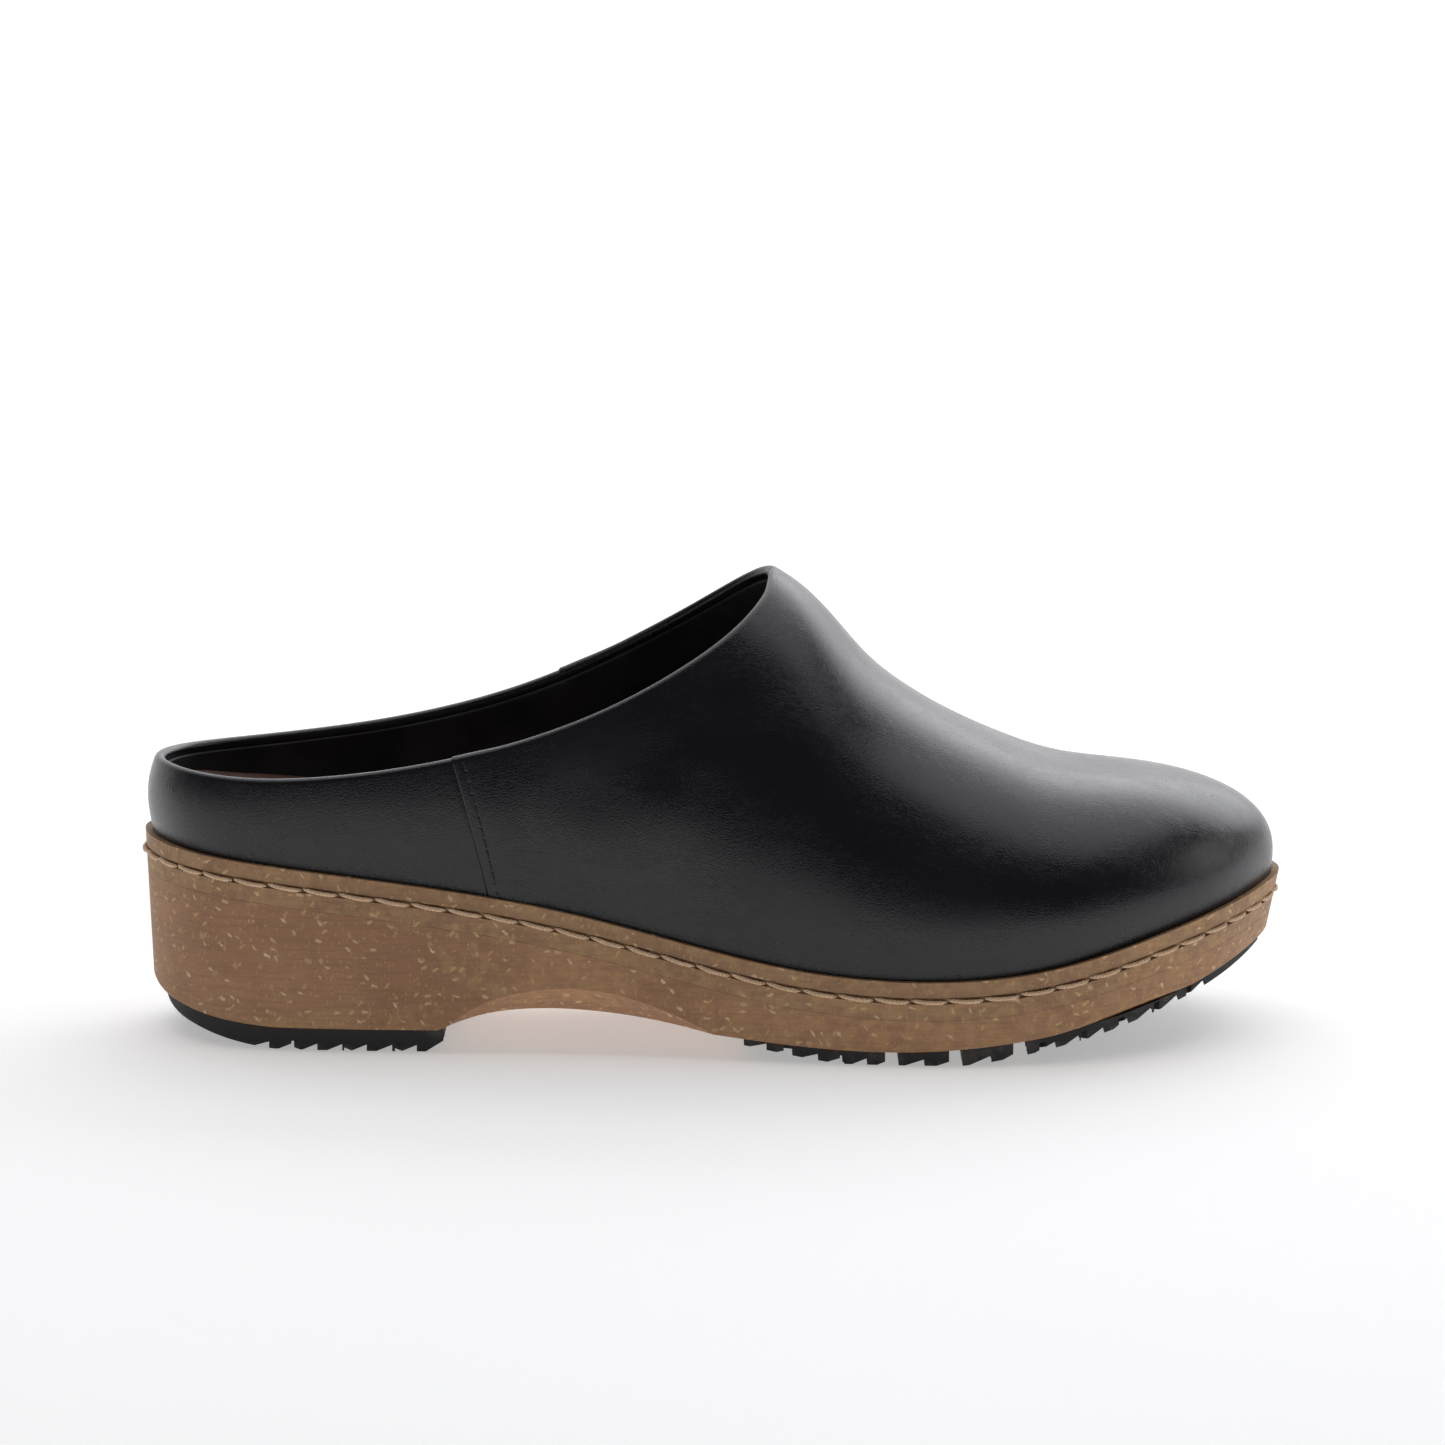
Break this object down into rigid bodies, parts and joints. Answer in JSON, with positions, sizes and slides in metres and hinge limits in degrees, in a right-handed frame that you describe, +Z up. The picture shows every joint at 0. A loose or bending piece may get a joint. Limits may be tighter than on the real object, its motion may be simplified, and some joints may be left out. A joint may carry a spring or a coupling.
{
  "type": "leather clog shoe",
  "caption": "Closed-toe slip-on clog for a right foot: black leather upper with a low heel collar, stitched welt on a tan flecked moulded sole with a low heel and black rubber treads.",
  "frame": {"origin": "middle of the shoe's length and width, on the ground under the treads", "axes": "+X from heel to toe, +Y towards the inner (medial) side of a right foot, +Z up"},
  "size_m": [0.268, 0.098, 0.1085],
  "materials": {
    "sole_compound": "matte, flecked with straw and cork colours",
    "welt_compound": "matte, flecked, slightly greyer than the sole",
    "welt_thread": "twisted waxed thread",
    "tread_rubber": "matte black",
    "shank_steel": "plain spring steel",
    "cork_filler": "granulated cork",
    "insole_board": "plain cellulose fibreboard",
    "footbed_foam": "soft foam",
    "sock_leather": "smooth brown lining leather",
    "upper_leather": "smooth black, soft semi-gloss",
    "stiffener": "thermoplastic stiffener sheet",
    "interlining": "woven backing cloth",
    "topline_tape": "woven reinforcing tape",
    "lining_leather": "matt black lining leather",
    "seam_thread": "black bonded thread"
  },
  "bodies": {
    "root": {"midsole": "sole_compound", "welt": "welt_compound", "welt_thread": "welt_thread", "heel_tread": "tread_rubber", "forefoot_tread_rear": "tread_rubber", "forefoot_tread_middle": "tread_rubber", "forefoot_tread_front": "tread_rubber", "toe_tread": "tread_rubber", "shank": "shank_steel", "shank_rivets": "shank_steel", "bottom_filler": "cork_filler", "insole_board": "insole_board", "footbed": "footbed_foam", "sock_cover": "sock_leather", "vamp": "upper_leather", "heel_quarter": "upper_leather", "toe_puff": "stiffener", "heel_counter": "stiffener", "vamp_interlining": "interlining", "vamp_topline_tape": "topline_tape", "quarter_topline_tape": "topline_tape", "vamp_lining": "lining_leather", "quarter_lining": "lining_leather", "lateral_seam_thread": "seam_thread", "medial_seam_thread": "seam_thread"}
  },
  "joints": []
}
